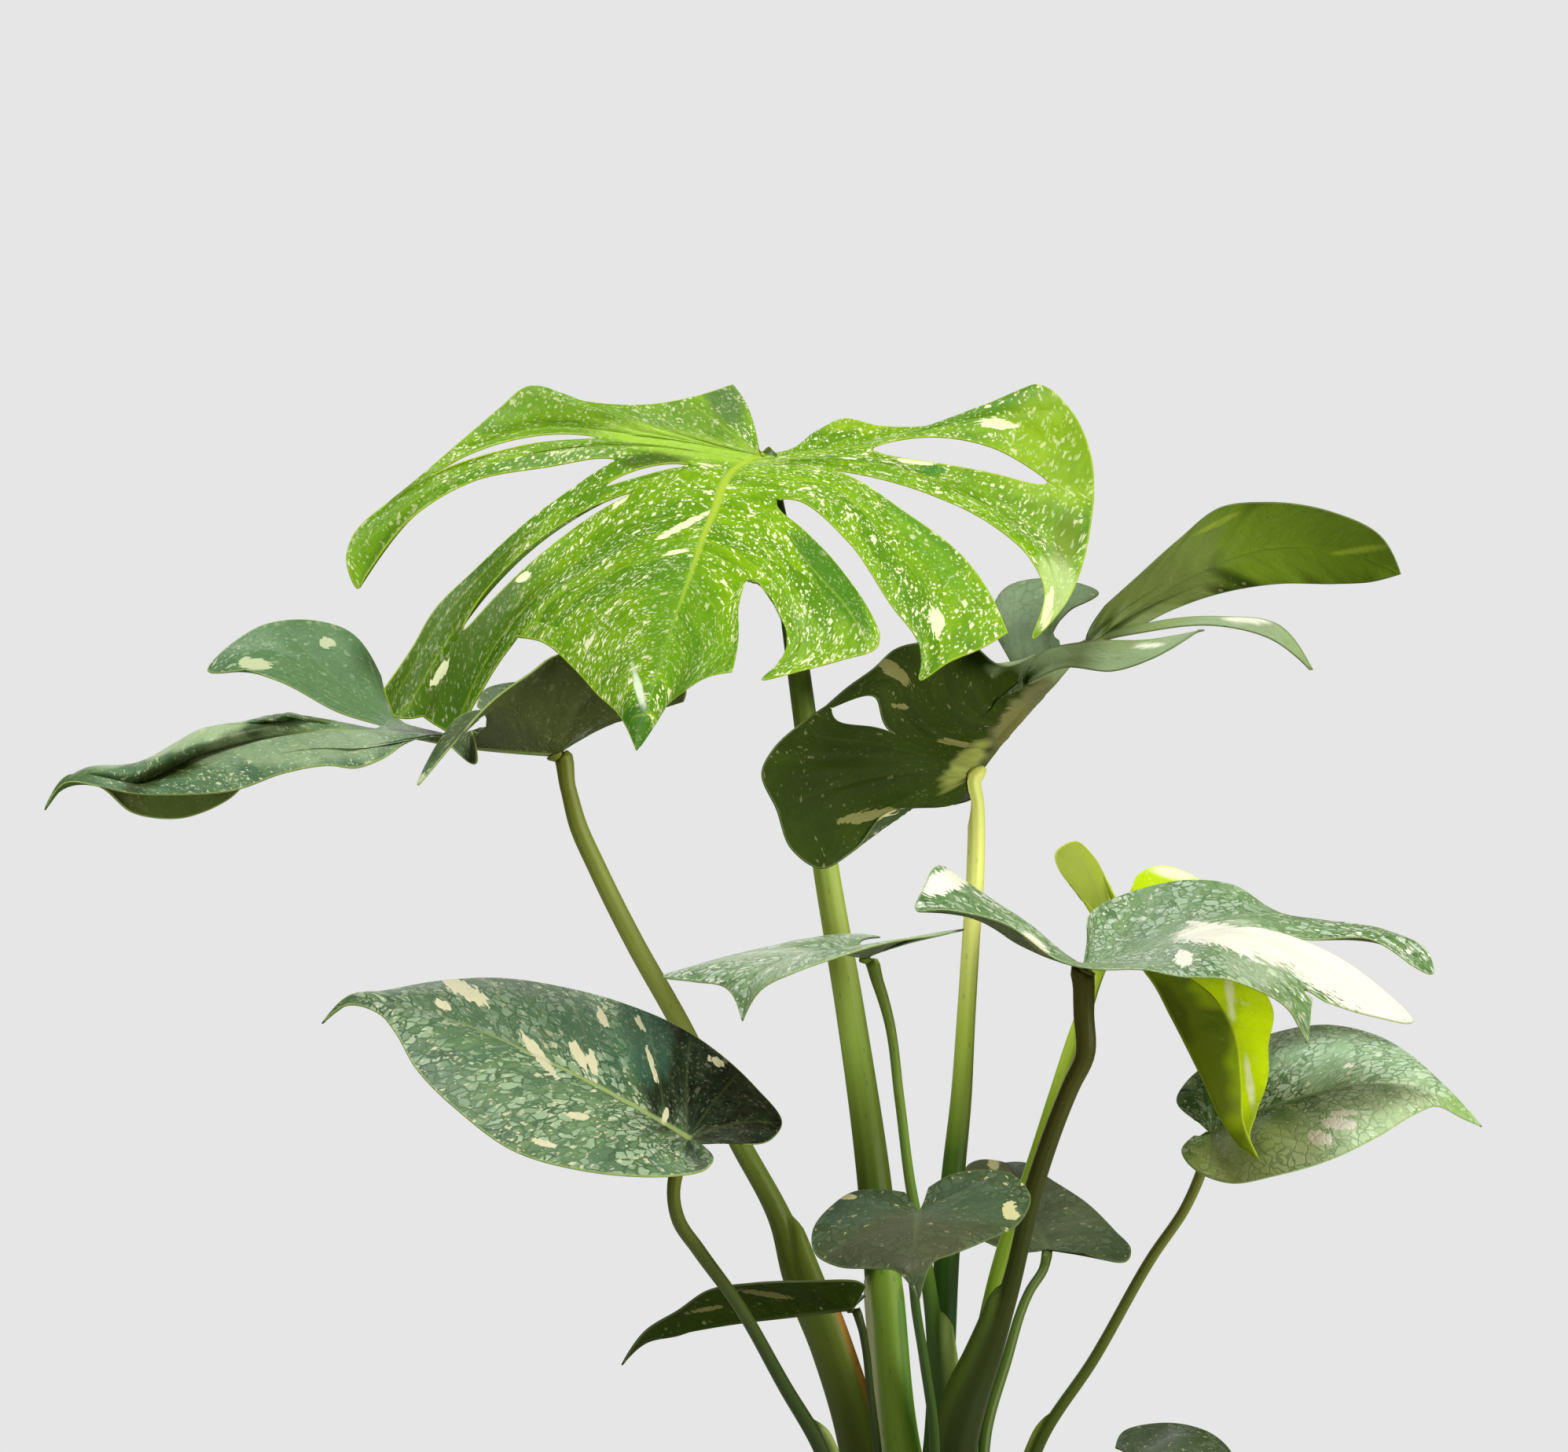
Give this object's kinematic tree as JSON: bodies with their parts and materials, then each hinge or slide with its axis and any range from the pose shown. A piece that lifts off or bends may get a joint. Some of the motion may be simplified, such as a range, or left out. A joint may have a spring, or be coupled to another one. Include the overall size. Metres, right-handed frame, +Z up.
{
  "type": "potted variegated monstera",
  "caption": "Potted variegated monstera: split, holed and heart-shaped leaves flecked with cream, on tall stalks in bark mix in a plain round pot.",
  "frame": {"origin": "centre of the pot's flat underside", "axes": "+Z up along the pot's axis, -Y towards the side the picture sees, +X to the right there"},
  "size_m": [0.5705, 0.2827, 0.6735],
  "materials": {
    "pot": "matt, unglazed, warm grey",
    "potting_mix": "rough bark mix",
    "young_leaf": "satin, fresh green flecked with cream",
    "green_leaf": "satin, mid green flecked with cream",
    "grey_green_leaf": "satin, grey green flecked with cream",
    "new_leaf": "glossy, yellow green",
    "green_stalk": "satin, yellow green to mid green",
    "dark_stalk": "satin, dark olive"
  },
  "bodies": {
    "root": {"pot": "pot", "potting_mix": "potting_mix", "crown_blade": "young_leaf", "crown_stalk": "green_stalk", "left_mid_blade": "grey_green_leaf", "left_mid_stalk": "green_stalk", "right_mid_blade": "grey_green_leaf", "right_mid_stalk": "green_stalk", "right_low_blade": "grey_green_leaf", "right_low_stalk": "dark_stalk", "left_low_blade": "grey_green_leaf", "left_low_stalk": "green_stalk", "centre_small_blade": "grey_green_leaf", "centre_small_stalk": "green_stalk", "centre_front_blade": "green_leaf", "centre_front_stalk": "green_stalk", "right_heart_blade": "grey_green_leaf", "right_heart_stalk": "green_stalk", "back_right_blade": "green_leaf", "back_right_stalk": "green_stalk", "left_back_blade": "green_leaf", "left_back_stalk": "green_stalk", "low_front_blade": "green_leaf", "low_front_stalk": "green_stalk", "unfurling_blade": "new_leaf", "unfurling_stalk": "green_stalk"}
  },
  "joints": []
}
